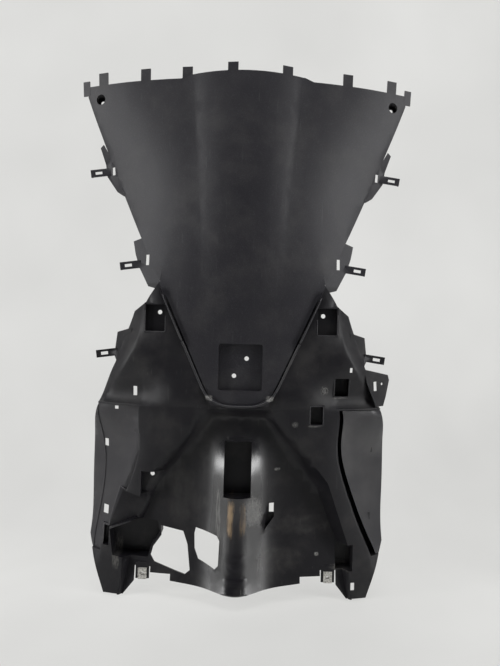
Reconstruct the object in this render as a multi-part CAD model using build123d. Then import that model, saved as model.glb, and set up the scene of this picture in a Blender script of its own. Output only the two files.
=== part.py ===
from build123d import *
import os
from math import exp, sin, cos, tan, pi, radians

# Leg shield of a scooter, seen from the rider's side. Millimetres.
# X runs to the viewer's right, Y away from the viewer, Z up.
# The origin is midway between the two column screws, on the back face of their pad.

# Walls
wall = 2.8
cup_wall = 2.2
cup_sink = 1.1              # where a cup starts below the panel's front
weld = 1.4                  # how far joined features sink into the panel's wall
spare = 14.0                # how far a surface runs past the outline that trims it
side_spare = 22.0
sole_spare = 16.0

# Outline of the moulding: half widths and heights
top_z = 420.0
crown_rise = 5.0
crown_half = 84.0
crown_run = 13.0
top_half = 244.0
top_corner = 15.0
fan_mid_half = 187.0
fan_mid_z = 260.0
waist_half = 122.0
waist_z = 124.0
shoulder_half = 162.0
shoulder_z = 79.0
shoulder_cut = 20.0
shoulder_slant = 14.0
chest_half = 187.0
chest_z = 2.0
hip_half = 228.0
hip_z = -118.0
thigh_half = 226.0
heel_half = 224.0
heel_z = -262.0
ankle_half = 205.0
ankle_z = -316.0
sole_half = 196.0
sole_inner_half = 166.0
sole_z = -341.0
instep_half = 150.5
instep_z = -322.0
hem_z = -309.0
apron_half = 96.0
apron_z = -318.0
apron_bow = 5.0

# Fan: a shield that bends back to both sides, with a raised bulge over the steering column
fan_bend_ends = 0.0007
fan_bend_middle = 0.0018
fan_bend_z = 240.0
fan_bend_span = 130.0
bulge_rise = 16.0
bulge_top_half = 81.0
bulge_fade_half = 53.0
bulge_fade_z = 50.0
bulge_foot_half = 34.0

# Lower border of the fan: a V that closes in a rounded U, with a raised lip outside it
vee_top_half = 124.0
vee_low_half = 51.0
vee_low_z = -36.0
u_bottom_z = -57.0
u_round = 22.0
u_bend_half = 44.0
u_bend_z = -44.0
vee_blend = 14.0
lip_top_z = 112.0
lip_bars = 2                # straight bars on each side of the V
lip_width = 4.0
lip_overlap = 2.0
lip_lap = 2.0               # how far the lip covers the U's lower edge
lip_rise = 4.5

# Flanks, their outer ridge and the side faces below it
flank_bend = 0.0007
side_turn_half = 145.0
side_turn_z = -125.0
side_turn_round = 10.0
side_turn_spread = 0.08
side_turn_power = 1.3
side_slope = 0.6
side_top_z = -40.0
side_run = 100.0
ridge_top_half = 149.0
ridge_top_z = 50.0
ridge_low_half = 232.0
ridge_low_z = -115.0
ridge_slope = 0.7
ridge_round = 5.0
ridge_clear = 8.0           # least distance of the ridge from the turn and from the panel's edge

# Where the panel's smooth stretches meet above the waist
fan_vee_half = 150.0
fan_turn_half = 170.0
fan_turn_top_half = 210.0
fan_turn_z = 180.0
fan_turn_low_z = 60.0
fan_reach_half = 190.0
fan_reach_z = 150.0
fan_reach_run = 190.0
fan_reach_spare = 24.0

# Toe wells and tunnel
well_depth = 30.0
well_z = -175.0
well_span = 175.0
well_top_half = 44.0
well_top_z = -62.0
well_knee_half = 139.0
well_knee_z = -165.0
well_low_half = 178.0
well_low_z = -262.0
well_foot_spread = 4.0
well_spare = 30.0
well_top_spare = 34.0
well_crease_half = 60.0
well_reach_half = 230.0
well_draft = 32.0
well_lead = 20.0
well_prism_run = 95.0
well_seam = 0.4
tunnel_rise = 34.0
tunnel_half = 38.0
tunnel_top_z = -70.0
tunnel_run = 95.0

# Screws
screw_hole = 6.5
column_pcd = 31.2
column_turn = 55.0
pad_width = 64.0
pad_height = 68.0
pad_round = 4.0
pad_recess = 8.0
stub_x = -1.0
stub_z = 5.0
stub_diameter = 9.0
stub_height = 4.0
corner_half = 223.0
corner_z = 400.0
corner_cup = 14.5
corner_depth = 16.0
shoulder_half_in = 112.0
shoulder_half_out = 141.0
shoulder_low = 50.0
shoulder_high = 89.0
shoulder_depth = 10.0
shoulder_screw_half = 121.0
shoulder_screw_z = 78.0

# Other square pockets: two on the right flank, one in each toe well
upper_pocket = (141.0, 162.0, -41.0, -14.0)
upper_pocket_depth = 28.0
lower_pocket = (105.0, 123.0, -82.0, -55.0)
lower_pocket_depth = 12.0
foot_pocket = (150.0, 174.0, -300.0, -261.0)
foot_pocket_depth = 12.0
knee_pocket = (-142.0, -112.0, -190.0, -157.0)
knee_pocket_depth = 14.0
knee_screw_x = -127.0
knee_screw_z = -163.0
peg_diameter = 6.0
peg_height = 5.0
lower_peg = (111.0, -61.0)
foot_peg = (155.0, -267.0)

# Tongues for the side panels: a loop on a bracket beside the edge
tongue_length = 31.0
tongue_width = 11.5
tongue_wall = 2.4
tongue_slot_length = 11.0
tongue_slot_width = 4.5
tongue_barb = 4.0
tongue_drop = 8.0
tongue_slot_place = 0.6     # share of the length
tongue_roots = ((211.0, 297.0), (154.0, 150.0), (188.0, 17.0))
bracket_step = 1.2
bracket_wall = 2.4
top_bracket = ((222, 338), (228, 334), (219, 308), (217, 290), (200, 266), (188, 258), (180, 266))
mid_bracket = ((150, 191), (167, 185), (163, 166), (156, 145), (153, 140), (140, 116), (126, 112), (120, 135))
low_bracket = ((164, 54), (190, 47), (192, 12), (185, 1), (172, 8))
bracket_slits = ((205.0, 297.0, 5.0, 12.0), (143.0, 156.0, 5.0, 16.0))

# Tabs and ears of the top edge
tab_width = 15.0
tab_rise = 17.0
tab_root = 8.0
tab_places = (-218.0, -151.0, -88.0, -21.0, 58.0, 149.0, 219.0)
ear_width = 11.0
ear_height = 20.0
ear_overlap = 3.0

# Wing on the right, with its slot and hole
wing = ((186, 0), (232, -10), (234, -18), (226, -42), (220, -56), (206, -56), (190, -20))
wing_slot = (206.0, -26.0, 6.0, 14.0)
wing_hole = (219.0, -23.0)
wing_hole_diameter = 4.0

# Recesses of the side covers, drawn for the right, and the cover in the right one
recess_top_z = -61.0
recess_low_z = -280.0
floor_half = 216.0
floor_dip = 11.0
recess_depth = 6.0
land_depth = 4.8
cover_wall = 2.6
cover_set_in = 0.3
trough_depth = 20.0
gap_top = 5.5
gap_low = 9.0
cover_end_gap = 1.2
clip_holes = ((184.0, -66.0, 6.0, 5.0), (205.0, -125.0, 7.0, 12.0), (199.0, -223.0, 9.0, 13.0))
clip_clearance = 1.0
clip_reach = 9.0
clip_root = 1.7

# Pocket beside the left foot, with a shallow upper half and a deep lower one
side_pocket_upper = ((-177, -185), (-136, -196), (-133, -232), (-152, -229), (-190, -244), (-184, -212))
side_pocket_lower = ((-152, -231), (-133, -234), (-118, -236), (-114, -253), (-127, -271), (-131, -288),
                     (-158, -288), (-183, -285), (-189, -247))
side_pocket_shallow = 18.0
side_pocket_deep = 42.0

# Openings: one in the tunnel, two windows in the left toe well, a keyhole in the right one
slot_width = 40.0
slot_top_z = -110.0
slot_bottom_z = -190.0
slot_depth = 34.0
outer_window = ((-113, -242), (-79, -248), (-72, -266), (-67, -302), (-74, -308), (-89, -304), (-121, -294),
                (-127, -285), (-124, -273), (-112, -256))
inner_window = ((-60, -241), (-28, -247), (-24, -253), (-25, -288), (-30, -294), (-55, -285), (-61, -271),
                (-62, -250))
keyhole = ((48, -202), (56, -202), (56, -222), (41, -241), (44, -220))
keyhole_slit = (52.0, -210.0, 7.0, 15.0)
keyhole_depth = 8.0
plain_slots = ((-156.0, -40.0, 6.0, 14.0), (164.0, -1.0, 4.0, 7.0), (175.0, -323.0, 6.0, 12.0))
edge_oval = (-194.0, -257.0, 9.0, 28.0)
edge_oval_depth = 9.0

# Clip nuts and the tabs that they grip
nut_half = 138.5
nut_z = -312.0
nut_width = 13.0
nut_height = 17.0
nut_sheet = 0.9
nut_barrel = 9.0
nut_barrel_length = 5.0
nut_thread = 5.2
nut_clearance = 0.1
nut_tab_width = 20.0
nut_tab_wall = 2.5
nut_tab_hole = 8.0
nut_notch_z = -301.0
nut_tab_root = 6.0
nut_tab_lift = 0.3
nut_notch_spare = 2.0

front_y = -(pad_recess + wall)
far = 150.0                 # past everything along Y
sheet_size = 2 * far
backing_front = 60.0
backing_back = 80.0
notch_half = nut_tab_width / 2 + nut_notch_spare
panel_top = top_z + spare
panel_bottom = sole_z - sole_spare
well_layer_top = well_top_z + well_top_spare

# Level sections of the lofts, and points in each stretch of a section
panel_rows = 16
fan_rows = 10
recess_rows = 6
foot_rows = 3
well_rows = 9
panel_points = 5
cover_points = 10
well_points = 14


def ease(t):
    t = min(1.0, max(0.0, t))
    return t * t * (3 - 2 * t)


def mix(a, b, t):
    return a + (b - a) * t


# Depth of each surface as a formula in X and Z

def vee_half(z):
    return mix(vee_low_half, vee_top_half, (z - vee_low_z) / (waist_z - vee_low_z))


def bulge_half(z):
    if z > bulge_fade_z:
        return mix(bulge_fade_half, bulge_top_half, (z - bulge_fade_z) / (top_z - bulge_fade_z))
    return mix(bulge_fade_half, bulge_foot_half, ease((bulge_fade_z - z) / (bulge_fade_z - vee_low_z)))


def side_turn(z):
    return side_turn_half + side_turn_spread * max(0.0, side_turn_z - z) ** side_turn_power


def ridge_half(z):
    return mix(ridge_low_half, ridge_top_half, (z - ridge_low_z) / (ridge_top_z - ridge_low_z))


def ramp(past, rounding):
    """A straight rise that starts in a rounding."""
    if past < -rounding:
        return 0.0
    if past < rounding:
        return (past + rounding) ** 2 / (4 * rounding)
    return past


def fan_depth(x, z):
    off_middle = (z - fan_bend_z) / fan_bend_span
    bend = mix(fan_bend_ends, fan_bend_middle, exp(-off_middle * off_middle))
    up = max(0.0, (z - bulge_fade_z) / (top_z - bulge_fade_z))
    bulge = bulge_rise * up * max(0.0, 1 - (x / bulge_half(z)) ** 2)
    return bend * x * x - bulge


def flank_depth(x, z):
    slope = side_slope * ease((side_top_z - z) / side_run)
    side = slope * ramp(abs(x) - side_turn(z), side_turn_round)
    ridge = ridge_slope * ramp(abs(x) - ridge_half(z), ridge_round)
    return flank_bend * x * x + side + ridge


def panel_depth(x, z):
    past_vee = max(abs(x) - vee_half(z), u_bottom_z - z)
    lower = ease(past_vee / vee_blend + 0.5) * ease((waist_z + vee_blend - z) / (3 * vee_blend))
    return front_y + mix(fan_depth(x, z), flank_depth(x, z), lower)


def well_floor(x, z):
    hollow = well_depth * (1 - ((z - well_z) / well_span) ** 2)
    tunnel = tunnel_rise * ease((tunnel_top_z - z) / tunnel_run) * exp(-((x / tunnel_half) ** 2))
    return front_y + flank_bend * x * x + hollow - tunnel


def set_back(depth, amount):
    return lambda x, z: depth(x, z) + amount


# Solids between two such surfaces, lofted through level sections

def panel_places(z):
    """X of the creases of the panel's level section, from one side to the other."""
    vee = max(vee_half(z), vee_low_half)
    turn = mix(side_turn(z), fan_turn_half, ease((z - fan_turn_low_z) / (fan_turn_z - fan_turn_low_z)))
    if z > waist_z:
        vee = mix(waist_half, fan_vee_half, (z - waist_z) / (top_z - waist_z))
    if z > fan_turn_z:
        turn = mix(fan_turn_half, fan_turn_top_half, (z - fan_turn_z) / (top_z - fan_turn_z))
    wide = mix(fan_reach_half, top_half + fan_reach_spare, max(0.0, z - fan_reach_z) / (top_z - fan_reach_z))
    reach = mix(wide, hip_half + side_spare, ease((fan_reach_z - z) / fan_reach_run))
    ridge = min(max(ridge_half(z), turn + ridge_clear), reach - ridge_clear)
    right = (bulge_half(z), vee, turn, turn + cup_wall, ridge, reach)
    return tuple(-x for x in reversed(right)) + right


def foot_places(z):
    turn = side_turn(recess_low_z)
    right = (bulge_half(z), vee_low_half, turn, turn + cup_wall, hip_half + side_spare)
    return tuple(-x for x in reversed(right)) + right


def well_places(z):
    return (-well_reach_half, -well_crease_half, well_crease_half, well_reach_half)


def run(depth, x0, x1, z, steps):
    xs = [mix(x0, x1, i / steps) for i in range(steps + 1)]
    return Edge.make_spline([(x, depth(x, z), z) for x in xs])


def level_section(near, away, places, z, steps):
    edges = []
    for depth, row in ((near, places(z)), (away, tuple(reversed(places(z))))):
        for x0, x1 in zip(row, row[1:]):
            edges.append(run(depth, x0, x1, z, steps))
        end = row[-1]
        other = away if depth is near else near
        edges.append(Edge.make_line((end, depth(end, z), z), (end, other(end, z), z)))
    return Wire(edges)


def stepped_wire(corners, z, steps=panel_points):
    """Closed level section through corners given as X and depth below the panel's front."""
    edges = []
    for (x0, d0), (x1, d1) in zip(corners, corners[1:] + corners[:1]):
        if d0 == d1:
            edges.append(run(set_back(panel_depth, d0), x0, x1, z, steps))
        else:
            edges.append(Edge.make_line((x0, panel_depth(x0, z) + d0, z), (x1, panel_depth(x1, z) + d1, z)))
    return Wire(edges)


def layer(near, away, places, top, bottom, rows, steps=panel_points):
    levels = [mix(top, bottom, i / rows) for i in range(rows + 1)]
    return Solid.make_loft([level_section(near, away, places, z, steps) for z in levels])


def well_layer(near, away):
    return layer(near, away, well_places, well_layer_top, panel_bottom, well_rows, well_points)


def prism(shape, start, end):
    """Upright outline, drawn in X and Z, made solid from one Y to another."""
    return extrude(Plane.XZ.offset(-start) * shape, amount=end - start, dir=(0, 1, 0))


def post(x, z, diameter, start, end):
    return prism(Pos(x, z) * Circle(diameter / 2), start, end)


# Outline of the whole moulding, drawn smaller by an inset for the cover

def outline(inset=0.0):
    def at(x, z, dx=1, dz=0):
        return (x - inset * dx, z - inset * dz)

    crown = at(0, top_z + crown_rise, 0, 1)
    crown_end = at(crown_half, top_z + crown_rise, 1, 1)
    crown_foot = at(crown_half + crown_run, top_z, 1, 1)
    corner = at(top_half, top_z, 1, 1)
    corner_low = at(top_half, top_z - top_corner)
    waist = at(waist_half, waist_z)
    right = [
        Polyline(crown, crown_end, crown_foot, corner, corner_low),
        ThreePointArc(corner_low, at(fan_mid_half, fan_mid_z), waist),
        Polyline(waist, at(shoulder_half - shoulder_cut, shoulder_z + shoulder_slant, 1, 1),
                 at(shoulder_half, shoulder_z, 1, 0.5)),
        Polyline(at(shoulder_half, shoulder_z, 1, 0.5), at(chest_half, chest_z)),
        Spline(at(chest_half, chest_z), at(mix(chest_half, hip_half, 0.7), mix(chest_z, hip_z, 0.55)),
               at(hip_half, hip_z), at(thigh_half, mix(hip_z, heel_z, 0.5)), at(heel_half, heel_z)),
        Polyline(at(heel_half, heel_z), at(ankle_half, ankle_z), at(sole_half, sole_z, 1, -1),
                 at(sole_inner_half, sole_z, -0.5, -1), at(instep_half, instep_z, -1, -1),
                 at(instep_half, nut_notch_z, -1, -1), at(nut_half - notch_half, nut_notch_z, -1, -1),
                 at(nut_half - notch_half, hem_z, -1, -1), at(apron_half, hem_z, -1, -1),
                 at(apron_half, apron_z, 1, -1)),
        ThreePointArc(at(apron_half, apron_z, 1, -1),
                      at(apron_half / 2, apron_z - 0.75 * apron_bow, 1, -1),
                      at(0, apron_z - apron_bow, 0, -1)),
    ]
    half = Curve() + right
    left = mirror(half, Plane.YZ)
    return make_face(half + left)


# The bent panel, its toe wells and its tunnel

well_foot_half = well_low_half + well_foot_spread
well_foot_z = sole_z - well_spare
well_shape = Polygon(
    (-well_top_half, well_top_z), (well_top_half, well_top_z), (well_knee_half, well_knee_z),
    (well_low_half, well_low_z), (well_foot_half, well_foot_z), (-well_foot_half, well_foot_z),
    (-well_low_half, well_low_z), (-well_knee_half, well_knee_z), align=None)


def well_prism(grow):
    """The wells' outline, narrowing with depth by its draft."""
    narrower = well_prism_run * tan(radians(well_draft))
    ends = []
    start = front_y - well_lead
    wide = grow + spare
    for y, size in ((start, wide), (start + well_prism_run, wide - narrower)):
        ends.append(Plane.XZ.offset(-y) * offset(well_shape, size, kind=Kind.INTERSECTION))
    return loft(ends, ruled=True)


def rectangle(x0, x1, z0, z1):
    return Pos((x0 + x1) / 2, (z0 + z1) / 2) * Rectangle(x1 - x0, z1 - z0)


def slot_at(x, z, width, height):
    return Pos(x, z) * Rectangle(width, height)


def polygon(points, side=1):
    return Polygon(*[(side * x, z) for x, z in points], align=None)


def grown(shape, amount):
    return offset(shape, amount, kind=Kind.INTERSECTION)


def at_panel(x, z, depth):
    return panel_depth(x, z) + depth


def through(shape):
    return prism(shape, -far, far)


# The panel: level sections with a stepped recess on both sides, and a trough in the right one

def gap_at(z):
    return mix(gap_low, gap_top, (z - recess_low_z) / (recess_top_z - recess_low_z))


def recess_corners(z, side):
    """Front and back corners of one side's recess, from its inner edge outwards."""
    wall_in = side_turn(z)
    inner = wall_in + cup_wall
    share = (z - recess_low_z) / (recess_top_z - recess_low_z)
    floor_out = floor_half - floor_dip * sin(pi * share) ** 2
    reach = hip_half + side_spare
    front = [(wall_in, 0), (inner, 0), (inner, recess_depth), (floor_out, recess_depth),
             (floor_out, land_depth), (reach, land_depth)]
    back = [(wall_in, wall), (wall_in, recess_depth + wall), (reach, recess_depth + wall)]
    if side > 0:
        far_gap = inner + gap_at(z)
        front[2:3] = [(inner, trough_depth), (far_gap, trough_depth), (far_gap, recess_depth)]
        back[1:2] = [(wall_in, trough_depth + cup_wall), (far_gap + cup_wall, trough_depth + cup_wall),
                     (far_gap + cup_wall, recess_depth + wall)]
    return [[(side * x, depth) for x, depth in line] for line in (front, back)]


def recess_section(z):
    right_front, right_back = recess_corners(z, 1)
    left_front, left_back = recess_corners(z, -1)
    vee = max(vee_half(z), vee_low_half)
    across = (-vee, -bulge_half(z), bulge_half(z), vee)
    front = left_front[::-1] + [(x, 0) for x in across] + right_front
    return stepped_wire(front + right_back[::-1] + [(x, wall) for x in reversed(across)] + left_back, z)


def end_wall(z, side, rise):
    back = recess_corners(z, side)[1]
    face = Face(stepped_wire([(back[0][0], weld), (back[-1][0], weld)] + back[:0:-1], z))
    return extrude(face, amount=cup_wall, dir=(0, 0, rise))


def make_panel():
    back = set_back(panel_depth, wall)
    upper = layer(panel_depth, back, panel_places, panel_top, recess_top_z, fan_rows)
    levels = [mix(recess_top_z, recess_low_z, i / recess_rows) for i in range(recess_rows + 1)]
    middle = Solid.make_loft([recess_section(z) for z in levels])
    lower = layer(panel_depth, back, foot_places, recess_low_z, panel_bottom, foot_rows)
    ends = ((recess_top_z, 1), (recess_low_z, -1))
    walls = [end_wall(z, side, rise) for z, rise in ends for side in (1, -1)]
    whole = upper + middle
    whole = whole + lower
    return whole + walls


def make_shell():
    inner = well_prism(0)
    outer = well_prism(wall)
    edge = through(outline())
    panel = make_panel()
    panel = panel - inner & edge
    floor = well_layer(well_floor, set_back(well_floor, wall)) & outer & edge
    lining = well_layer(set_back(panel_depth, weld), set_back(well_floor, wall - well_seam))
    slope = (outer - inner) & lining & edge
    return panel + slope + floor


# Everything that stands behind the middle of the moulding's wall

def make_backing():
    hollow = well_prism(weld) & well_layer(set_back(well_floor, -backing_front), set_back(well_floor, weld))
    near = set_back(panel_depth, weld)
    away = set_back(panel_depth, backing_back)
    return layer(near, away, panel_places, panel_top, panel_bottom, panel_rows) - hollow


# Flat plates laid on the panel: the lip outside the V, brackets, tabs, ears and the wing

def lie_on_panel(x, z):
    """Plane that touches the panel's front at a place, facing away from the viewer."""
    step = 1.0
    across = (panel_depth(x + step, z) - panel_depth(x - step, z)) / (2 * step)
    along = (panel_depth(x, z + step) - panel_depth(x, z - step)) / (2 * step)
    return Plane(origin=(x, panel_depth(x, z), z), x_dir=(1, across, 0), z_dir=(-across, 1, -along))


def plate(shape, x, z, near, thick):
    """Upright outline cut out of a flat sheet that lies on the panel at a place."""
    sheet = lie_on_panel(x, z) * Pos(0, 0, near + thick / 2) * Box(sheet_size, sheet_size, thick)
    return sheet & through(shape)


def lip_bar(x0, z0, x1, z1):
    """Bar along the outer side of a line, longer than it at both ends so that neighbours overlap."""
    length = ((x1 - x0) ** 2 + (z1 - z0) ** 2) ** 0.5
    out_x = lip_width * (z1 - z0) / length
    out_z = lip_width * (x0 - x1) / length
    on_x = lip_overlap * (x1 - x0) / length
    on_z = lip_overlap * (z1 - z0) / length
    start = (x0 - on_x, z0 - on_z)
    end = (x1 + on_x, z1 + on_z)
    far_end = (end[0] + out_x, end[1] + out_z)
    far_start = (start[0] + out_x, start[1] + out_z)
    quad = Polygon(start, end, far_end, far_start, align=None)
    return plate(quad, (x0 + x1) / 2, (z0 + z1) / 2, -lip_rise, lip_rise + weld)


def make_lip():
    heights = [mix(lip_top_z, vee_low_z, i / lip_bars) for i in range(lip_bars + 1)]
    right = [(vee_half(z), z) for z in heights]
    right += [(u_bend_half, u_bend_z), (u_round, u_bottom_z + lip_lap), (-u_round, u_bottom_z + lip_lap)]
    bars = []
    for (x0, z0), (x1, z1) in zip(right, right[1:]):
        bars.append(lip_bar(x1, z1, x0, z0))
        if x1 > 0:
            bars.append(lip_bar(-x0, z0, -x1, z1))
    return bars


def make_ledges():
    plates = [plate(polygon(wing), wing[3][0], wing[3][1], bracket_step, bracket_wall)]
    for points in (top_bracket, mid_bracket, low_bracket):
        for side in (1, -1):
            middle_x = side * sum(x for x, z in points) / len(points)
            middle_z = sum(z for x, z in points) / len(points)
            plates.append(plate(polygon(points, side), middle_x, middle_z, bracket_step, bracket_wall))
    for x in tab_places:
        shape = rectangle(x - tab_width / 2, x + tab_width / 2, top_z - tab_root, top_z + tab_rise)
        plates.append(plate(shape, x, top_z, bracket_step, bracket_wall))
    for side in (1, -1):
        ends = sorted((side * (top_half - ear_overlap), side * (top_half + ear_width - ear_overlap)))
        shape = rectangle(*ends, top_z + tab_root - ear_height, top_z + tab_root)
        plates.append(plate(shape, side * top_half, top_z, bracket_step, bracket_wall))
    return plates


def tongue(side, x, z):
    root_y = at_panel(x, z, bracket_step)
    spot = Pos(side * x, z) * Rot(0, 0, -side * tongue_drop)
    strip = Pos(side * tongue_length / 2, 0) * Rectangle(tongue_length, tongue_width)
    slot_x = side * tongue_slot_place * tongue_length
    window = Pos(slot_x, 0) * Rectangle(tongue_slot_length, tongue_slot_width)
    end = Pos(side * (tongue_length - tongue_wall / 2), 0) * Rectangle(tongue_wall, tongue_width)
    loop = prism(spot * (strip - window), root_y, root_y + tongue_wall)
    return loop + prism(spot * end, root_y, root_y + tongue_barb)


# Pockets of the panel: outline, the Y of the floor's front, and a place on the panel in the outline's middle

lower_floor = at_panel(lower_pocket[0], lower_pocket[3], lower_pocket_depth)
foot_floor = well_floor(foot_pocket[0], foot_pocket[3]) + foot_pocket_depth
slot_middle = (slot_top_z + slot_bottom_z) / 2

panel_pockets = [(RectangleRounded(pad_width, pad_height, pad_round), -cup_wall, (0, 0))]
for side in (1, -1):
    inside = sorted((side * shoulder_half_in, side * shoulder_half_out))
    panel_pockets.append((rectangle(*inside, shoulder_low, shoulder_high),
                          at_panel(shoulder_screw_half, shoulder_screw_z, shoulder_depth),
                          (sum(inside) / 2, (shoulder_low + shoulder_high) / 2)))
    panel_pockets.append((Pos(side * corner_half, corner_z) * Circle(corner_cup / 2),
                          at_panel(corner_half, corner_z, corner_depth), (side * corner_half, corner_z)))
panel_pockets.append((rectangle(*upper_pocket), at_panel(upper_pocket[0], upper_pocket[3], upper_pocket_depth),
                      (sum(upper_pocket[:2]) / 2, sum(upper_pocket[2:]) / 2)))
panel_pockets.append((rectangle(*lower_pocket), lower_floor,
                      (sum(lower_pocket[:2]) / 2, sum(lower_pocket[2:]) / 2)))

# Pockets that reach into the toe wells and the tunnel: outline and the Y of the floor's front

well_pockets = [
    (rectangle(*knee_pocket), at_panel(knee_pocket[0], knee_pocket[2], knee_pocket_depth)),
    (rectangle(*foot_pocket), foot_floor),
    (polygon(side_pocket_upper), at_panel(*side_pocket_upper[1], side_pocket_shallow)),
    (polygon(side_pocket_lower), at_panel(*side_pocket_lower[1], side_pocket_deep)),
    (slot_at(0, slot_middle, slot_width, slot_top_z - slot_bottom_z), well_floor(0, slot_middle) + slot_depth),
    (polygon(keyhole), well_floor(*keyhole[0]) + keyhole_depth),
    (slot_at(*edge_oval), at_panel(edge_oval[0], edge_oval[1], recess_depth + edge_oval_depth)),
]

column_reach = column_pcd / 2
column_x = column_reach * cos(radians(column_turn))
column_z = column_reach * sin(radians(column_turn))
nut_tab_y = well_floor(nut_half, nut_notch_z) - nut_tab_lift
nut_tab_low = nut_z - nut_height / 2 + nut_sheet + nut_clearance


def make_shield():
    backing = make_backing()
    blocks = [prism(grown(shape, cup_wall), -backing_front, floor + cup_wall) for shape, floor in well_pockets]
    cups = [backing & block for block in blocks]
    for shape, floor, spot in panel_pockets:
        behind = lie_on_panel(*spot) * Pos(0, 0, cup_sink + far / 2) * Box(far, far, far)
        cups.append(prism(grown(shape, cup_wall), -far, floor + cup_wall) & behind)
    adds = make_ledges()
    adds += [tongue(side, x, z) for x, z in tongue_roots for side in (1, -1)]
    adds.append(post(stub_x, stub_z, stub_diameter, -cup_wall - stub_height, -cup_wall / 2))
    adds.append(post(*lower_peg, peg_diameter, lower_floor - peg_height, lower_floor + weld))
    adds.append(post(*foot_peg, peg_diameter, foot_floor - peg_height, foot_floor + weld))
    for side in (1, -1):
        tab = rectangle(side * nut_half - nut_tab_width / 2, side * nut_half + nut_tab_width / 2,
                        nut_tab_low, nut_notch_z + nut_tab_root)
        hole = Pos(side * nut_half, nut_z) * Circle(nut_tab_hole / 2)
        adds.append(prism(tab - hole, nut_tab_y, nut_tab_y + nut_tab_wall))

    cuts = [prism(shape, -far, floor) for shape, floor in well_pockets]
    cuts += [prism(shape, -far, floor) for shape, floor, spot in panel_pockets]
    for side in (1, -1):
        cuts.append(post(side * column_x, side * column_z, screw_hole, -far, far))
        cuts.append(post(side * corner_half, corner_z, screw_hole, -far, far))
        cuts.append(post(side * shoulder_screw_half, shoulder_screw_z, screw_hole, -far, far))
        cuts += [through(slot_at(side * x, z, w, h)) for x, z, w, h in clip_holes + bracket_slits]
    cuts += [through(slot_at(*place)) for place in plain_slots + (wing_slot, keyhole_slit)]
    cuts += [through(polygon(outer_window)), through(polygon(inner_window))]
    cuts.append(post(knee_screw_x, knee_screw_z, screw_hole, -far, far))
    cuts.append(post(*wing_hole, wing_hole_diameter, -far, far))
    whole = make_shell() + cups
    whole = whole + make_lip()
    whole = whole + adds
    return whole - cuts


def cover_section(z):
    near, away = cover_set_in, cover_set_in + cover_wall
    start, end = side_turn(z) + cup_wall + gap_at(z), hip_half + side_spare
    return stepped_wire([(start, near), (end, near), (end, away), (start, away)], z, cover_points)


def make_cover():
    top = recess_top_z - cover_end_gap
    low = recess_low_z + cover_end_gap
    levels = [mix(top, low, i / recess_rows) for i in range(recess_rows + 1)]
    sheet = Solid.make_loft([cover_section(z) for z in levels])
    sheet = sheet & through(outline(cover_set_in))
    prongs = []
    for x, z, w, h in clip_holes:
        foot = slot_at(x, z, w - 2 * clip_clearance, h - 2 * clip_clearance)
        prongs.append(prism(foot, at_panel(x, z, clip_root), at_panel(x, z, recess_depth + clip_reach)))
    return sheet + prongs


def make_nut(side):
    front = nut_tab_y - nut_clearance - nut_sheet
    back = nut_tab_y + nut_tab_wall + nut_clearance + nut_sheet
    low = nut_z - nut_height / 2
    leaf = rectangle(side * nut_half - nut_width / 2, side * nut_half + nut_width / 2, low, low + nut_height)
    gap = rectangle(side * nut_half - nut_width, side * nut_half + nut_width, low + nut_sheet,
                    low + 2 * nut_height)
    body = prism(leaf, front, back) - prism(gap, front + nut_sheet, back - nut_sheet)
    body = body + post(side * nut_half, nut_z, nut_barrel, back - nut_sheet / 2, back + nut_barrel_length)
    return body - post(side * nut_half, nut_z, nut_thread, -far, far)


shield = make_shield()
side_cover = make_cover()
nuts = Compound([make_nut(side).solid() for side in (1, -1)])
os.makedirs("parts", exist_ok=True)
export_step(shield, "parts/leg_shield.step")
export_step(side_cover, "parts/side_cover.step")
export_step(nuts, "parts/clip_nuts.step")
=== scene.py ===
import math

import bmesh
import bpy
from mathutils import Matrix, Vector


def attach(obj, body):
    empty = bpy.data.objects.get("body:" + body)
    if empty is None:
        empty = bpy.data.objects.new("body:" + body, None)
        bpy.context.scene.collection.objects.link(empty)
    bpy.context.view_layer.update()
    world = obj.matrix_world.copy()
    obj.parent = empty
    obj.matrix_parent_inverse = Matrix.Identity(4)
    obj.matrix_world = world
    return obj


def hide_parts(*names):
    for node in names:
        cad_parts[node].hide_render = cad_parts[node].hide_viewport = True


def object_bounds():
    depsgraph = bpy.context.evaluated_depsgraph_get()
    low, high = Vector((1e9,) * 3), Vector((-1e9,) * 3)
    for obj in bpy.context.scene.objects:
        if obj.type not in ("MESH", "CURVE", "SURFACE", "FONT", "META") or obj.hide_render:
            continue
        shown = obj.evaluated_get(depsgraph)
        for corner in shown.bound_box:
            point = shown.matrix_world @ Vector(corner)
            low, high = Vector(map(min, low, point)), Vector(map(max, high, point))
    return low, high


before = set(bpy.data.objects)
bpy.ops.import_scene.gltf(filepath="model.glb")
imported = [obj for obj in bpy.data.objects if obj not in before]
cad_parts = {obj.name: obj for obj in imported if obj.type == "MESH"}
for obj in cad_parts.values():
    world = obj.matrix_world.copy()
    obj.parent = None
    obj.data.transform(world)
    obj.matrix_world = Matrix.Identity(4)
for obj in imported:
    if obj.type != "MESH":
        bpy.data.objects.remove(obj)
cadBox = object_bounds()
mm = 0.001
mergeAt = 0.002 * mm
print("frame loaded")


# colours are written as sRGB hex and turned to linear here
def linear(hexColour):
    parts = [int(hexColour[i:i + 2], 16) / 255 for i in (1, 3, 5)]
    return tuple(c / 12.92 if c <= 0.04045 else ((c + 0.055) / 1.055) ** 2.4 for c in parts) + (1.0,)


# adds one node with its settings; an input is a value or a socket to link, and the result is a socket
def addNode(tree, kind, inputs=None, out=None, **settings):
    node = tree.nodes.new("ShaderNode" + kind)
    for name, value in settings.items():
        setattr(node, name, value)
    for key, value in (inputs or {}).items():
        if isinstance(value, bpy.types.NodeSocket):
            tree.links.new(value, node.inputs[key])
        else:
            node.inputs[key].default_value = value
    return node.outputs[out] if out else next((o for o in node.outputs if o.enabled), None)


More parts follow.
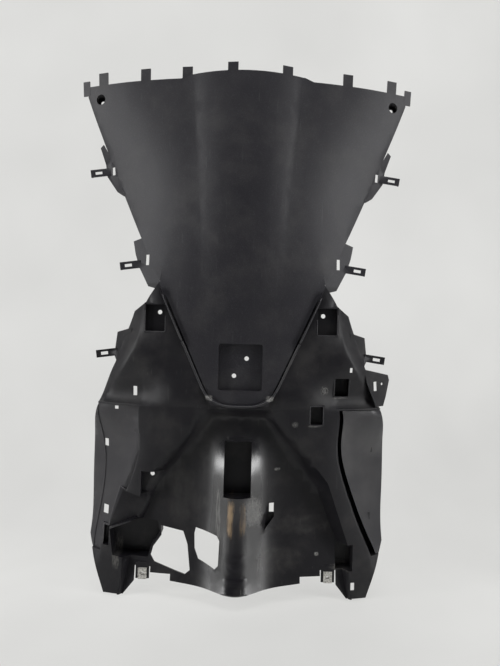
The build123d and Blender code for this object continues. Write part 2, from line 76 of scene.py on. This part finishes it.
smoothly = {"interpolation_type": "SMOOTHSTEP"}


def newMaterial(name):
    material = bpy.data.materials.new(name)
    material.use_nodes = True
    material.node_tree.nodes.clear()
    return material, material.node_tree


# camera at the photograph's viewpoint, angles in degrees
cameraSettings = {
    "place": (5.3 * mm, -910.9 * mm, 50.4 * mm),
    "yaw": -0.48,
    "level": 90.0,
    "roll": 1.49,
    "lens": 33.55,
    "sensor": 36.0,
}


def makeCamera(s):
    data = bpy.data.cameras.new("camera")
    data.sensor_fit = "VERTICAL"
    data.sensor_height = s["sensor"]
    data.lens = s["lens"]
    camera = bpy.data.objects.new("camera", data)
    matrix = Matrix.Translation(Vector(s["place"]))
    for angle, axis in (("yaw", "Z"), ("level", "X"), ("roll", "Z")):
        matrix = matrix @ Matrix.Rotation(math.radians(s[angle]), 4, axis)
    camera.matrix_world = matrix
    bpy.context.scene.collection.objects.link(camera)
    bpy.context.scene.camera = camera


makeCamera(cameraSettings)
bpy.context.scene.view_settings.view_transform = "Standard"
print("camera placed")


# pale backdrop: a floor that curves up into a wall behind
sheetSettings = {
    "floorZ": cadBox[0][2] - 3 * mm,
    "wallY": 420 * mm,
    "frontY": -2600 * mm,
    "halfWidth": 2600 * mm,
    "height": 2600 * mm,
    "radius": 300 * mm,
    "steps": 14,
    "dull": "#d3d3d1",
    "bright": "#e0e0de",
    "cloudsPerMetre": 2.2,
    "dullAt": 0.3,
    "brightAt": 0.7,
    "glow": 0.8,  # share of its own light that the camera sees, the rest is lit
}


def makeSheetMaterial(s):
    material, tree = newMaterial("cottonSheetMatte")  # bleached cotton, no gloss, faint grey clouds
    place = addNode(tree, "TexCoord", out="Object")
    clouds = addNode(tree, "TexNoise", {"Vector": place, "Scale": s["cloudsPerMetre"], "Detail": 3.0})
    tone = addNode(tree, "ValToRGB", {"Fac": clouds})
    for element, shade in zip(tone.node.color_ramp.elements, ("dull", "bright")):
        element.position = s[shade + "At"]
        element.color = linear(s[shade])
    lit = addNode(tree, "BsdfDiffuse", {"Color": tone})
    glow = addNode(tree, "Emission", {"Color": tone, "Strength": 1.0})
    seen = addNode(tree, "LightPath", out="Is Camera Ray")
    share = addNode(tree, "Math", {0: seen, 1: s["glow"]}, operation="MULTIPLY")
    mixed = addNode(tree, "MixShader", {0: share, 1: lit, 2: glow})
    # from behind it is clear, so that the back of the part can be seen
    behind = addNode(tree, "NewGeometry", out="Backfacing")
    clear = addNode(tree, "BsdfTransparent")
    whole = addNode(tree, "MixShader", {0: behind, 1: mixed, 2: clear})
    addNode(tree, "OutputMaterial", {"Surface": whole})
    return material


def makeSheet(s):
    bm = bmesh.new()
    row = [(s["frontY"], s["floorZ"])]
    for i in range(s["steps"] + 1):
        a = math.pi / 2 * i / s["steps"]
        y = s["wallY"] - s["radius"] + s["radius"] * math.sin(a)
        row.append((y, s["floorZ"] + s["radius"] - s["radius"] * math.cos(a)))
    row.append((s["wallY"], s["floorZ"] + s["height"]))
    verts = [bm.verts.new((-s["halfWidth"], y, z)) for y, z in row]
    edges = [bm.edges.new(pair) for pair in zip(verts, verts[1:])]
    swept = bmesh.ops.extrude_edge_only(bm, edges=edges)["geom"]
    moved = [g for g in swept if isinstance(g, bmesh.types.BMVert)]
    bmesh.ops.translate(bm, verts=moved, vec=(2 * s["halfWidth"], 0, 0))
    bm.normal_update()
    for face in bm.faces:
        face.smooth = True
        if face.normal.y > 0 or face.normal.z < 0:
            face.normal_flip()
    mesh = bpy.data.meshes.new("sheet")
    bm.to_mesh(mesh)
    bm.free()
    sheet = bpy.data.objects.new("sheet", mesh)
    sheet.data.materials.append(makeSheetMaterial(s))
    bpy.context.scene.collection.objects.link(sheet)


makeSheet(sheetSettings)
print("backdrop made")


# soft light from above and from both sides, little from the front: place, aim, width, height, watts
lightSettings = {
    "topBox": ((0.0, -0.35, 1.3), (0.0, 0.0, 0.1), 1.4, 0.8, 13.0),
    "leftBox": ((-1.1, -0.42, 0.25), (-0.1, 0.0, 0.05), 0.3, 1.1, 9.0),
    "rightBox": ((1.1, -0.42, 0.25), (0.1, 0.0, 0.05), 0.3, 1.1, 9.0),
}
worldSettings = {"colour": "#8f9094", "strength": 0.16, "seen": "#d6d6d4"}


def makeLights(boxes, w):
    for name, (place, aim, width, height, power) in boxes.items():
        data = bpy.data.lights.new(name, "AREA")
        data.shape = "RECTANGLE"
        data.size = width
        data.size_y = height
        data.energy = power
        lamp = bpy.data.objects.new(name, data)
        lamp.location = place
        lamp.rotation_euler = (Vector(aim) - Vector(place)).to_track_quat("-Z", "Y").to_euler()
        bpy.context.scene.collection.objects.link(lamp)
    world = bpy.data.worlds.new("room")
    world.use_nodes = True
    tree = world.node_tree
    tree.nodes.clear()
    # a dim room, seen as pale as the backdrop where that ends
    seen = addNode(tree, "LightPath", out="Is Camera Ray")
    dim = addNode(tree, "Background", {"Color": linear(w["colour"]), "Strength": w["strength"]})
    pale = addNode(tree, "Background", {"Color": linear(w["seen"]), "Strength": 1.0})
    room = addNode(tree, "MixShader", {0: seen, 1: dim, 2: pale})
    addNode(tree, "OutputWorld", {"Surface": room})
    bpy.context.scene.world = world


makeLights(lightSettings, worldSettings)
print("lights set")


# a point's place in millimetres of the part's own frame, whole and by axis
def splitPlace(tree):
    place = addNode(tree, "TexCoord", out="Object")
    inMm = addNode(tree, "VectorMath", {0: place, "Scale": 1 / mm}, operation="SCALE")
    axes = addNode(tree, "SeparateXYZ", {0: inMm}).node.outputs
    return inMm, axes["X"], axes["Y"], axes["Z"]


# worn and stained places, with painted highlights and pale patches among them: middle and half size in
# millimetres, how strong, how broken up and how streaky
markKeys = ("x", "z", "halfX", "halfZ", "colour", "strength", "breakMm", "run", "speckMm")
markSettings = {
    "tunnel": [
        (-9.0, -219.0, 5.5, 28.0, "tan", 1.0, 5.0, 0.2, 6.0),
        (9.0, -220.0, 5.0, 26.0, "tan", 0.45, 4.0, 0.2, 6.0),
        (25.0, -211.0, 13.0, 22.0, "scuffAndHighlight", 0.5, 2.6, 1.0, 1.1),
        # painted highlight: a long pale strip down the tunnel's left side, where its gloss catches the side
        # light
        (-27.0, -215.0, 4.0, 40.0, "scuffAndHighlight", 0.35, 3.0, 0.1, 2.0),
    ],
    "lip": [
        # two pale patches at the lip's lower corners
        (-44.0, -44.5, 6.0, 4.5, "scuffAndHighlight", 0.95, 12.0, 1.0, 5.0),
        (44.0, -44.5, 6.0, 4.5, "scuffAndHighlight", 0.95, 12.0, 1.0, 5.0),
    ],
    "wells": [
        (59.0, -152.0, 5.0, 2.5, "scuffAndHighlight", 0.8, 4.0, 1.0, 2.0),
        (121.0, -278.0, 3.5, 3.0, "scuffAndHighlight", 0.85, 4.0, 1.0, 2.0),
        (95.0, -235.0, 45.0, 14.0, "dustAndHighlight", 0.12, 16.0, 1.0, 14.0),
        (60.0, -285.0, 40.0, 20.0, "dustAndHighlight", 0.1, 18.0, 1.0, 12.0),
        (-75.0, -190.0, 35.0, 45.0, "dustAndHighlight", 0.08, 20.0, 0.5, 12.0),
    ],
    "feet": [
        # painted highlights: a pale strip for the lit top of a shelf that is not built, and pale streaks
        # along the left foot's lit edges
        (156.0, -297.0, 15.0, 5.0, "dustAndHighlight", 0.6, 3.0, 1.0, 1.5),
        (-178.0, -285.0, 6.0, 22.0, "dustAndHighlight", 0.5, 5.0, 0.3, 2.0),
    ],
    "flank": [
        (125.0, -32.0, 6.0, 6.0, "scuffAndHighlight", 0.45, 3.0, 1.0, 1.6),
        (82.0, -82.0, 4.5, 4.5, "scuffAndHighlight", 0.4, 2.0, 1.0, 1.6),
        # painted highlights: pale lines along the lower rims of two pockets, whose upward faces catch the
        # light
        (112.0, -84.0, 10.0, 1.6, "scuffAndHighlight", 0.6, 8.0, 1.0, 4.0),
        (151.0, -43.0, 14.0, 1.8, "scuffAndHighlight", 0.45, 8.0, 1.0, 4.0),
    ],
}
markShape = {"power": 3.0, "ragged": 1.4, "endAt": 1.1, "fullAt": 0.55, "speckFrom": 0.35, "speckTo": 0.65,
             "speckShare": 0.7}


# a rounded patch whose edge is broken by noise and whose inside is speckled
def markShare(tree, place, x, z, mark):
    s = markShape
    powers = []
    for axis, middle, half in ((x, mark["x"], mark["halfX"]), (z, mark["z"], mark["halfZ"])):
        off = addNode(tree, "Math", {0: axis, 1: middle}, operation="SUBTRACT")
        off = addNode(tree, "Math", {0: off, 1: half}, operation="DIVIDE")
        off = addNode(tree, "Math", {0: off}, operation="ABSOLUTE")
        powers.append(addNode(tree, "Math", {0: off, 1: s["power"]}, operation="POWER"))
    reach = addNode(tree, "Math", {0: powers[0], 1: powers[1]}, operation="ADD")
    reach = addNode(tree, "Math", {0: reach, 1: 1 / s["power"]}, operation="POWER")
    along = addNode(tree, "Mapping", {"Vector": place, "Scale": (1.0, 1.0, mark["run"])})
    patches = addNode(tree, "TexNoise", {"Vector": along, "Scale": 1 / mark["breakMm"], "Detail": 4.0,
                                         "Roughness": 0.7})
    ragged = addNode(tree, "Math", {0: patches, 1: 0.5}, operation="SUBTRACT")
    ragged = addNode(tree, "Math", {0: ragged, 1: s["ragged"], 2: reach}, operation="MULTIPLY_ADD")
    share = addNode(tree, "MapRange", {0: ragged, 1: s["endAt"], 2: s["fullAt"]}, **smoothly)
    share = addNode(tree, "Math", {0: share, 1: mark["strength"]}, operation="MULTIPLY")
    fine = addNode(tree, "TexNoise", {"Vector": along, "Scale": 1 / mark["speckMm"], "Detail": 2.0})
    specks = addNode(tree, "MapRange", {0: fine, 1: s["speckFrom"], 2: s["speckTo"]}, **smoothly)
    specks = addNode(tree, "Mix", {0: specks, 2: 1 - s["speckShare"], 3: 1.0}, data_type="FLOAT")
    return addNode(tree, "Math", {0: share, 1: specks}, operation="MULTIPLY")


# lays colours over each other, each with its share
def layColours(tree, base, layers):
    colour = linear(base)
    for share, tint in layers:
        colour = addNode(tree, "Mix", {0: share, 6: colour, 7: linear(tint)}, data_type="RGBA")
    return colour


# black polypropylene, injection moulded: spark-eroded grain on the fan that breaks up the shine,
# smoother and deeper black below, dust and scuffs over both, painted shade in the groove along the V and
# painted highlights on a few rims and edges
shieldLook = {
    "fan": "#1d1c21",
    "lower": "#121115",
    "recess": "#2f2e31",
    # near black with no shine: painted shade in the narrow groove along the V's sides, which is not built
    "paintedGrooveShade": "#070708",
    "speck": "#3d3c42",
    # the dust and scuff greys also paint the highlights among the marks
    "dustAndHighlight": "#6d6b67",
    "tan": "#8a7458",
    "scuffAndHighlight": "#8d8c89",
    "grainMm": 1.3,  # the real grain is finer, this is as coarse as it needs to show
    "cloudMm": 60.0,
    "scratchMm": 3.0,
    "scratchRun": (0.9, 0.9, 0.045),
    "scratchTurn": (0.0, 0.25, 0.0),
    "fanRough": 0.5,
    "lowerRough": 0.46,
    "tunnelRough": 0.2,
    "cloudRough": 0.12,
    "lowerShine": 0.32,
    "fanShine": 0.45,
    "tunnelShine": 0.9,
    "lowerGrain": 0.25,
    "bumpStrength": 0.6,
    "bumpDepth": 0.3 * mm,
    "ior": 1.49,
    "veeSlope": 0.456,
    "veeHalf": 51.0,
    "veeZ": -36.0,
    "kneeHalf": 148.0,
    "kneeLean": 0.36,
    "kneeZ": -125.0,
    "frontFrom": 0.1,
    "frontTo": -0.1,
}

# areas of the shield: what is measured, where a share is 0 and where it is 1, in millimetres
areaSettings = {
    "fanLow": [("insideVee", -0.8, 0.8), ("z", -58.0, -55.0)],
    "fanHigh": [("z", 118.0, 124.0)],
    "tunnel": [("away", 62.0, 26.0), ("z", -70.0, -120.0), ("y", 14.0, 4.0)],
    "recess": [("kneeSide", 1.0, -1.0), ("z", -60.0, -62.0), ("z", -282.0, -279.0)],
    # painted shade: a band just inside the V's sides, from the top down to the U
    "paintedGrooveShade": [("insideVee", -1.0, 0.0), ("insideVee", 3.2, 2.0), ("z", 108.0, 90.0), ("z", -46.0, -42.0)],
}

# patterns: where each starts and is full, its share everywhere, the area where it is more, and how much more
patternSettings = [
    ("grain", "speck", 0.5, 0.7, 0.1, "fan", 0.3),
    ("clouds", "dustAndHighlight", 0.42, 0.75, 0.1, "fan", 0.0),
    ("scratch", "scuffAndHighlight", 0.68, 0.76, 0.05, "tunnel", 0.16),
]


# each area is the product of its bands
def makeAreas(tree, measures):
    areas = {}
    for name, bands in areaSettings.items():
        share = 1.0
        for measure, none, full in bands:
            band = addNode(tree, "MapRange", {0: measures[measure], 1: none, 2: full}, **smoothly)
            share = addNode(tree, "Math", {0: share, 1: band}, operation="MULTIPLY")
        areas[name] = share
    both = {0: areas["fanLow"], 1: areas["fanHigh"]}
    areas["fan"] = addNode(tree, "Math", both, operation="MAXIMUM")
    return areas


def makeShieldMaterial(s):
    material, tree = newMaterial("polypropyleneGrained")
    place, x, y, z = splitPlace(tree)
    away = addNode(tree, "Math", {0: x}, operation="ABSOLUTE")
    # how far inside the V a point lies
    over = addNode(tree, "Math", {0: z, 1: s["veeZ"]}, operation="SUBTRACT")
    halfVee = addNode(tree, "Math", {0: over, 1: s["veeSlope"], 2: s["veeHalf"]}, operation="MULTIPLY_ADD")
    insideVee = addNode(tree, "Math", {0: halfVee, 1: away}, operation="SUBTRACT")
    # the bare recess on the left, past a line that leans outwards below the knee
    under = addNode(tree, "Math", {0: s["kneeZ"], 1: z}, operation="SUBTRACT")
    under = addNode(tree, "Math", {0: under, 1: 0.0}, operation="MAXIMUM")
    kneeLine = addNode(tree, "Math", {0: under, 1: s["kneeLean"], 2: s["kneeHalf"]}, operation="MULTIPLY_ADD")
    kneeSide = addNode(tree, "Math", {0: x, 1: kneeLine}, operation="ADD")
    areas = makeAreas(tree, {"y": y, "z": z, "away": away, "insideVee": insideVee, "kneeSide": kneeSide})
    fan, tunnel = areas["fan"], areas["tunnel"]

    streaked = addNode(tree, "Mapping", {"Vector": place, "Scale": s["scratchRun"],
                                         "Rotation": s["scratchTurn"]})
    patterns = {
        "grain": addNode(tree, "TexNoise", {"Vector": place, "Scale": 1 / s["grainMm"], "Detail": 3.0,
                                            "Roughness": 0.6}),
        "clouds": addNode(tree, "TexNoise", {"Vector": place, "Scale": 1 / s["cloudMm"], "Detail": 4.0,
                                             "Roughness": 0.65}),
        "scratch": addNode(tree, "TexNoise", {"Vector": streaked, "Scale": 1 / s["scratchMm"],
                                              "Detail": 2.0}),
    }
    layers = [(fan, s["fan"]), (areas["recess"], s["recess"]), (areas["paintedGrooveShade"], s["paintedGrooveShade"])]
    for name, tint, start, full, plain, where, more in patternSettings:
        share = addNode(tree, "MapRange", {0: patterns[name], 1: start, 2: full}, **smoothly)
        strength = addNode(tree, "Math", {0: areas[where], 1: more, 2: plain}, operation="MULTIPLY_ADD")
        layers.append((addNode(tree, "Math", {0: share, 1: strength}, operation="MULTIPLY"), s[tint]))
    # marks are on the faces that look to the front
    normal = addNode(tree, "NewGeometry", out="Normal")
    facing = addNode(tree, "SeparateXYZ", {0: normal}, out="Y")
    front = addNode(tree, "MapRange", {0: facing, 1: s["frontFrom"], 2: s["frontTo"]}, **smoothly)
    for row in sum(markSettings.values(), []):
        mark = dict(zip(markKeys, row))
        share = markShare(tree, place, x, z, mark)
        layers.append((addNode(tree, "Math", {0: share, 1: front}, operation="MULTIPLY"), s[mark["colour"]]))
    colour = layColours(tree, s["lower"], layers)

    rough = addNode(tree, "Mix", {0: fan, 2: s["lowerRough"], 3: s["fanRough"]}, data_type="FLOAT")
    rough = addNode(tree, "Mix", {0: tunnel, 2: rough, 3: s["tunnelRough"]}, data_type="FLOAT")
    rough = addNode(tree, "Math", {0: rough, 1: s["cloudRough"] / 2}, operation="SUBTRACT")
    rough = addNode(tree, "Math", {0: patterns["clouds"], 1: s["cloudRough"], 2: rough},
                    operation="MULTIPLY_ADD")
    depth = addNode(tree, "Mix", {0: fan, 2: s["lowerGrain"], 3: 1.0}, data_type="FLOAT")
    height = addNode(tree, "Math", {0: patterns["grain"], 1: depth}, operation="MULTIPLY")
    bump = addNode(tree, "Bump", {"Height": height, "Strength": s["bumpStrength"],
                                  "Distance": s["bumpDepth"]})
    shine = addNode(tree, "Mix", {0: fan, 2: s["lowerShine"], 3: s["fanShine"]}, data_type="FLOAT")
    glossier = s["tunnelShine"] - s["lowerShine"]
    shine = addNode(tree, "Math", {0: tunnel, 1: glossier, 2: shine}, operation="MULTIPLY_ADD")
    # the painted groove shade takes no shine
    unshaded = addNode(tree, "Math", {0: 1.0, 1: areas["paintedGrooveShade"]}, operation="SUBTRACT")
    shine = addNode(tree, "Math", {0: shine, 1: unshaded}, operation="MULTIPLY")
    shader = addNode(tree, "BsdfPrincipled", {"Base Color": colour, "Roughness": rough, "IOR": s["ior"],
                                              "Specular IOR Level": shine, "Normal": bump})
    addNode(tree, "OutputMaterial", {"Surface": shader})
    return material


# black polypropylene, polished mould: smooth satin with faint clouds of dust and fine rub marks
coverLook = {
    "base": "#222125",
    "dustAndHighlight": "#6d6b67",
    "scuffAndHighlight": "#8d8c89",
    "cloudMm": 45.0,
    "cloudBand": (0.4, 0.75),
    "cloudShare": 0.12,
    "rubMm": 2.0,
    "rubRun": (1.0, 1.0, 0.08),
    "rubBand": (0.66, 0.74),
    "rubShare": 0.07,
    "rough": 0.38,
    "cloudRough": 0.1,
    "bumpStrength": 0.12,
    "bumpDepth": 0.1 * mm,
    "ior": 1.49,
}


def makeCoverMaterial(s):
    material, tree = newMaterial("polypropyleneSatin")
    place, x, _, z = splitPlace(tree)
    streaked = addNode(tree, "Mapping", {"Vector": place, "Scale": s["rubRun"]})
    clouds = addNode(tree, "TexNoise", {"Vector": place, "Scale": 1 / s["cloudMm"], "Detail": 4.0})
    rub = addNode(tree, "TexNoise", {"Vector": streaked, "Scale": 1 / s["rubMm"], "Detail": 2.0})
    layers = []
    for pattern, name in ((clouds, "cloud"), (rub, "rub")):
        start, full = s[name + "Band"]
        share = addNode(tree, "MapRange", {0: pattern, 1: start, 2: full}, **smoothly)
        share = addNode(tree, "Math", {0: share, 1: s[name + "Share"]}, operation="MULTIPLY")
        layers.append((share, s["dustAndHighlight"]))
    # two pale patches at the lip's lower corners
    for row in markSettings["lip"]:
        layers.append((markShare(tree, place, x, z, dict(zip(markKeys, row))), s["scuffAndHighlight"]))
    colour = layColours(tree, s["base"], layers)
    smoothest = s["rough"] - s["cloudRough"] / 2
    rough = addNode(tree, "Math", {0: clouds, 1: s["cloudRough"], 2: smoothest}, operation="MULTIPLY_ADD")
    bump = addNode(tree, "Bump", {"Height": rub, "Strength": s["bumpStrength"], "Distance": s["bumpDepth"]})
    shader = addNode(tree, "BsdfPrincipled", {"Base Color": colour, "Roughness": rough, "IOR": s["ior"],
                                              "Normal": bump})
    addNode(tree, "OutputMaterial", {"Surface": shader})
    return material


# spring steel, zinc plated: bright, slightly mottled, dull in patches
nutLook = {
    "zinc": "#cfcdc8",
    "dull": "#8f8d88",
    "mottleMm": 2.2,
    "dullFrom": 0.4,
    "dullTo": 0.7,
    "metallic": 0.85,
    "rough": 0.2,
    "mottleRough": 0.3,
    "bumpStrength": 0.1,
    "bumpDepth": 0.1 * mm,
}


def makeNutMaterial(s):
    material, tree = newMaterial("springSteelZinc")
    place = splitPlace(tree)[0]
    mottle = addNode(tree, "TexNoise", {"Vector": place, "Scale": 1 / s["mottleMm"], "Detail": 3.0})
    dull = addNode(tree, "MapRange", {0: mottle, 1: s["dullFrom"], 2: s["dullTo"]}, **smoothly)
    colour = layColours(tree, s["zinc"], [(dull, s["dull"])])
    rough = addNode(tree, "Math", {0: mottle, 1: s["mottleRough"], 2: s["rough"]}, operation="MULTIPLY_ADD")
    bump = addNode(tree, "Bump", {"Height": mottle, "Strength": s["bumpStrength"],
                                  "Distance": s["bumpDepth"]})
    shader = addNode(tree, "BsdfPrincipled", {"Base Color": colour, "Roughness": rough, "Normal": bump,
                                              "Metallic": s["metallic"]})
    addNode(tree, "OutputMaterial", {"Surface": shader})
    return material


# a merged copy of a CAD node, shaded smooth except over real edges
def dressNode(node, name, material, sharpAngle):
    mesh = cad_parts[node].data.copy()
    bm = bmesh.new()
    bm.from_mesh(mesh)
    bmesh.ops.remove_doubles(bm, verts=bm.verts, dist=mergeAt)
    bmesh.ops.dissolve_degenerate(bm, edges=bm.edges, dist=mergeAt)
    for face in bm.faces:
        face.smooth = True
    for edge in bm.edges:
        edge.smooth = edge.is_manifold and edge.calc_face_angle(0.0) < math.radians(sharpAngle)
    bm.to_mesh(mesh)
    bm.free()
    mesh.materials.clear()
    mesh.materials.append(material)
    piece = bpy.data.objects.new(name, mesh)
    bpy.context.scene.collection.objects.link(piece)
    even = piece.modifiers.new("even", "WEIGHTED_NORMAL")
    even.keep_sharp = True
    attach(piece, "root")
    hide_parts(node)
    return piece


# the rim of the upper right pocket: its lower corners are set back to the flank (x, z and new depth)
rimSettings = {
    "corners": [(138.8, -43.2, 10.3), (164.2, -43.2, 19.6), (141.0, -41.0, 11.0), (162.0, -41.0, 18.6)],
    "front": 9.5,
    "near": 0.1,
}


def settleRim(piece, s):
    for x, z, depth in s["corners"]:
        for vert in piece.data.vertices:
            spot = vert.co / mm
            if abs(spot.x - x) < s["near"] and abs(spot.z - z) < s["near"] and spot.y < s["front"]:
                vert.co.y = depth * mm


shieldMaterial = makeShieldMaterial(shieldLook)
shield = dressNode("leg_shield", "shieldMoulding", shieldMaterial, sharpAngle=65)
settleRim(shield, rimSettings)
print("shield dressed")
# the cover's paler satin is also laid on the border bead and the pocket frames, where its lighter colour is
# painted highlight
satinMaterial = makeCoverMaterial(coverLook)
dressNode("side_cover", "clipInCover", satinMaterial, sharpAngle=40)
print("cover dressed")
dressNode("clip_nuts", "clipNuts", makeNutMaterial(nutLook), sharpAngle=30)
print("clip nuts dressed")


# a piece of the moulding made here: linked, coloured and riding with the shield
def addPiece(name, bm, material):
    for face in bm.faces:
        face.smooth = True
    mesh = bpy.data.meshes.new(name)
    bm.to_mesh(mesh)
    bm.free()
    mesh.materials.append(material)
    piece = bpy.data.objects.new(name, mesh)
    bpy.context.scene.collection.objects.link(piece)
    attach(piece, "root")
    return piece


# where a line from the viewer's side meets the shield, and which way its surface faces there
def onShield(x, z):
    bpy.context.view_layer.update()
    start = Vector((x, cadBox[0][1] - 100 * mm, z))
    return shield.ray_cast(start, Vector((0, 1, 0)))[1:3]


# small moulded rings on the right flank: the marks of ejector pins
ringSettings = {
    "places": [(125 * mm, -32 * mm), (82 * mm, -82 * mm)],
    "radius": 4.2 * mm,
    "wire": 0.9 * mm,
    "sink": 0.2 * mm,
    "turns": 28,
    "around": 8,
}


def makeRings(s):
    bm = bmesh.new()
    for x, z in s["places"]:
        point, normal = onShield(x, z)
        centre = point - s["sink"] * normal
        seat = Matrix.Translation(centre) @ normal.to_track_quat("Z", "Y").to_matrix().to_4x4()
        row = []
        for i in range(s["around"]):
            a = 2 * math.pi * i / s["around"]
            spot = Vector((s["radius"] + s["wire"] * math.cos(a), 0, s["wire"] * math.sin(a)))
            row.append(bm.verts.new(seat @ spot))
        loop = [bm.edges.new((row[i - 1], row[i])) for i in range(s["around"])]
        bmesh.ops.spin(bm, geom=row + loop, axis=normal, cent=centre, angle=2 * math.pi,
                       steps=s["turns"], use_merge=True)
    bmesh.ops.recalc_face_normals(bm, faces=bm.faces)
    addPiece("pinRings", bm, shieldMaterial)


makeRings(ringSettings)
print("rings made")


# adds a round bar along a smooth line of points; a point is its place and its share of the radius
def addBar(bm, points, s):
    curve = bpy.data.curves.new("bar", "CURVE")
    curve.dimensions = "3D"
    curve.bevel_depth = s["radius"]
    curve.bevel_resolution = s["around"]
    curve.use_fill_caps = True
    spline = curve.splines.new("NURBS")
    spline.points.add(len(points) - 1)
    for point, (place, share) in zip(spline.points, points):
        point.co = (*place, 1.0)
        point.radius = share
    spline.order_u = s["order"]
    spline.use_endpoint_u = True
    spline.resolution_u = s["fine"]
    holder = bpy.data.objects.new("bar", curve)
    bpy.context.scene.collection.objects.link(holder)
    bpy.context.view_layer.update()
    mesh = bpy.data.meshes.new_from_object(holder.evaluated_get(bpy.context.evaluated_depsgraph_get()))
    bm.from_mesh(mesh)
    bpy.data.objects.remove(holder)
    bpy.data.curves.remove(curve)
    bpy.data.meshes.remove(mesh)


# rounded crest of the lip along the V and the U: right half of its line from the top to the middle
beadSettings = {
    "topZ": 104.0,
    "lowZ": -31.0,
    "steps": 12,
    "out": 2.0,
    "bend": [(50.5, -38.0), (46.0, -45.0), (38.0, -51.0), (27.0, -55.2), (14.0, -57.0), (0.0, -57.4)],
    "feel": [(0, 0), (-1.2, 0), (1.2, 0), (0, -1.2), (0, 1.2)],  # the foremost of these carries it
    "radius": 1.8 * mm,
    "sink": 0.7 * mm,
    "thin": 0.45,
    "grow": 130.0,
    "around": 3,
    "order": 4,
    "fine": 5,
}


def makeBead(s, vee):
    half = []
    for i in range(s["steps"] + 1):
        z = s["topZ"] + (s["lowZ"] - s["topZ"]) * i / s["steps"]
        half.append((vee["veeHalf"] + vee["veeSlope"] * (z - vee["veeZ"]) + s["out"], z))
    half += s["bend"]
    points = []
    for x, z in half + [(-x, z) for x, z in reversed(half[:-1])]:
        front = min(onShield((x + dx) * mm, (z + dz) * mm)[0].y for dx, dz in s["feel"])
        share = min(1.0, s["thin"] + (s["topZ"] - z) / s["grow"])
        points.append(((x * mm, front + s["sink"], z * mm), share))
    bm = bmesh.new()
    addBar(bm, points, s)
    bmesh.ops.remove_doubles(bm, verts=bm.verts, dist=mergeAt)
    bmesh.ops.recalc_face_normals(bm, faces=bm.faces)
    # paler than the moulding it belongs to: painted highlight along the lip's crest
    addPiece("borderBead", bm, satinMaterial)


makeBead(beadSettings, shieldLook)
print("border bead made")


# thin raised frames along the pockets' edges, as lines of corners
frameSettings = {
    "lines": [
        [(112, 72), (112, 50), (141, 50), (141, 80)],
        [(-112, 72), (-112, 50), (-141, 50), (-141, 80)],
        [(141, -16), (141, -41), (162, -41), (162, -16)],
        [(105, -55), (105, -82), (123, -82), (123, -55), (105, -55)],
    ],
    "out": 1.0,
    "steps": 6,
    "radius": 0.8 * mm,
    "sink": 0.15 * mm,
    "around": 2,
    "order": 3,
    "fine": 3,
}


def makeFrames(s):
    bm = bmesh.new()
    for corners in s["lines"]:
        left, right = (pick(c[0] for c in corners) for pick in (min, max))
        low = min(c[1] for c in corners)
        line = []
        for start, end in zip(corners, corners[1:]):
            line += [Vector(start).lerp(Vector(end), i / s["steps"]) for i in range(s["steps"])]
        line.append(Vector(corners[-1]))
        points = []
        for spot in line:
            x = spot.x + s["out"] * ((spot.x == right) - (spot.x == left))
            z = spot.y - s["out"] * (spot.y == low)
            points.append(((x * mm, onShield(x * mm, z * mm)[0].y + s["sink"], z * mm), 1.0))
        addBar(bm, points, s)
    bmesh.ops.remove_doubles(bm, verts=bm.verts, dist=mergeAt)
    bmesh.ops.recalc_face_normals(bm, faces=bm.faces)
    # paler than the moulding they belong to: painted highlight along the pocket edges
    addPiece("pocketFrames", bm, satinMaterial)


makeFrames(frameSettings)
print("pocket frames made")


# lower end of the tunnel's crest: a curved skin between the tunnel's sides, thick as the wall
hemSettings = {
    "halfX": 22 * mm,
    "topZ": -295 * mm,
    "lowZ": -322.6 * mm,
    "wall": 2.8 * mm,
    "rise": 34 * mm,
    "half": 38 * mm,
    "bend": 0.7,
    "columns": 32,
    "rows": 16,
    "lift": 0.12 * mm,
    "sink": 0.5 * mm,
    "sideRim": 0.2,
    "topRim": 0.3,
}


def makeHem(s):
    def crest(x):
        return s["rise"] * math.exp(-((x / s["half"]) ** 2)) - s["bend"] * x * x

    # the skin's upper and outer edges dip below the moulding
    def dip(x, down):
        outwards = max(0.0, abs(x) / s["halfX"] - 1 + s["sideRim"]) / s["sideRim"]
        upwards = max(0.0, s["topRim"] - down) / s["topRim"]
        return s["sink"] * max(outwards, upwards)

    heights = [s["topZ"] + (s["lowZ"] - s["topZ"]) * j / s["rows"] for j in range(s["rows"] + 1)]
    sides = [[onShield(end * s["halfX"], z)[0].y for end in (-1, 1)] for z in heights]
    bm = bmesh.new()
    bmesh.ops.create_grid(bm, x_segments=s["columns"], y_segments=s["rows"], size=1.0)
    for vert in bm.verts:
        share = (vert.co.x + 1) / 2
        j = round((1 - vert.co.y) / 2 * s["rows"])
        x = s["halfX"] * (2 * share - 1)
        left, right = sides[j]
        y = left + (right - left) * share - (crest(x) - crest(s["halfX"])) - s["lift"]
        vert.co = (x, y + dip(x, j / s["rows"]), heights[j])
    hem = addPiece("tunnelHem", bm, shieldMaterial)
    skin = hem.modifiers.new("wall", "SOLIDIFY")
    skin.thickness = s["wall"]
    skin.offset = -1.0


makeHem(hemSettings)
print("tunnel hem made")
